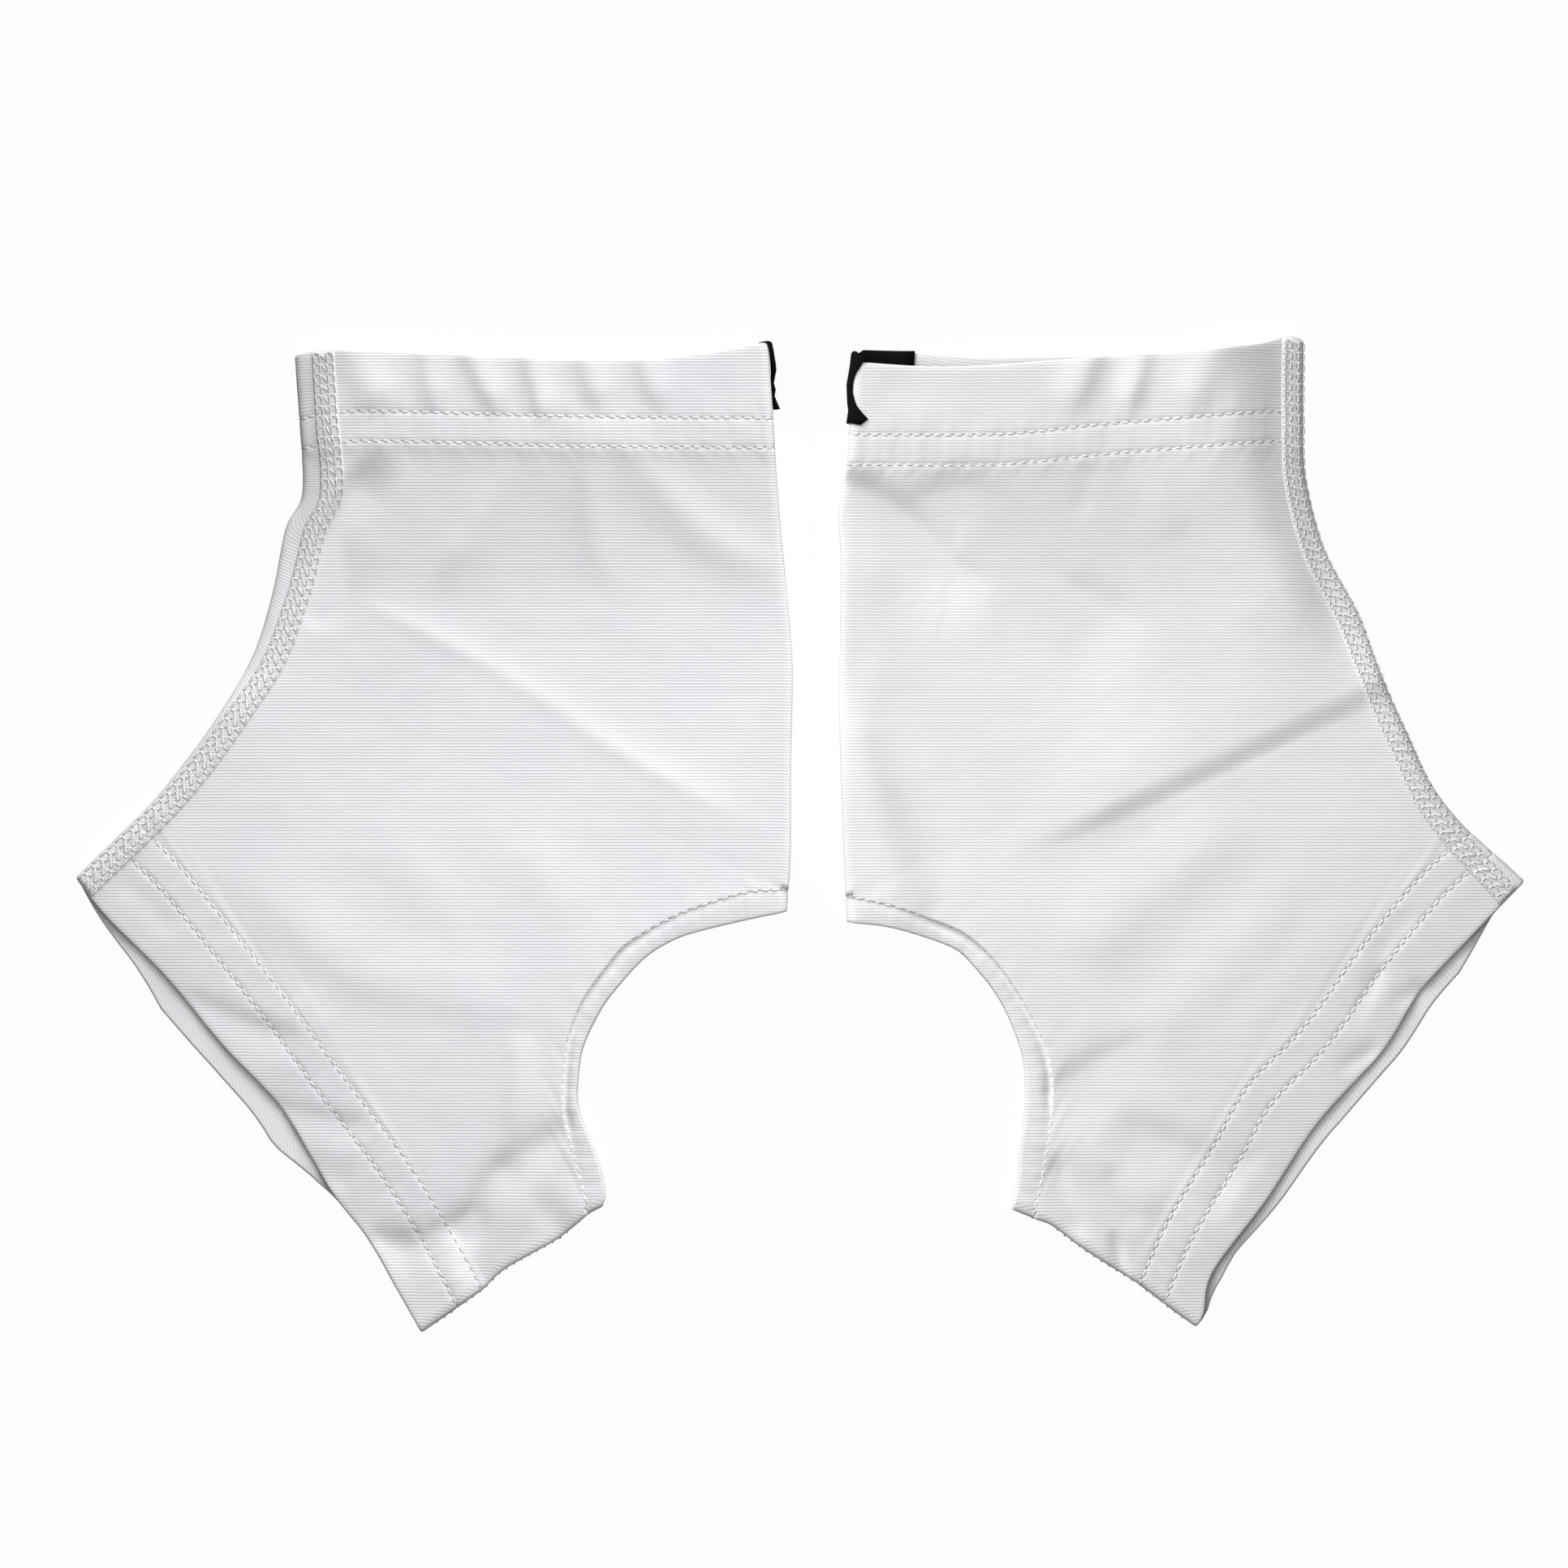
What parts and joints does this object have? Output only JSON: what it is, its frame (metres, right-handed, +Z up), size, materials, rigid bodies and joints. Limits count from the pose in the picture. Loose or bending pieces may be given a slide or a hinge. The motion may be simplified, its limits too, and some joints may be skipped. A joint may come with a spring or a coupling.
{
  "type": "pair of spats",
  "caption": "Pair of white stretch-knit spats laid flat, each a tube with turned ankle and toe hems, an open heel, a strap under the arch and a flat instep seam.",
  "frame": {"origin": "middle of the pair's bounding box, on the surface that the pair lies on", "axes": "+X from the left spat's toe to the right spat's toe, +Y towards the ankle openings, +Z up off the surface"},
  "size_m": [0.3194, 0.2197, 0.0062],
  "materials": {
    "white_knit": "matte",
    "white_thread": "soft",
    "black_label": "matte"
  },
  "bodies": {
    "root": {"left_body": "white_knit", "left_ankle_hem": "white_knit", "left_toe_hem": "white_knit", "left_heel_hem": "white_knit", "left_instep_seam": "white_thread", "left_label": "black_label", "right_body": "white_knit", "right_ankle_hem": "white_knit", "right_toe_hem": "white_knit", "right_heel_hem": "white_knit", "right_instep_seam": "white_thread", "right_label": "black_label", "right_label_inner": "black_label"}
  },
  "joints": []
}
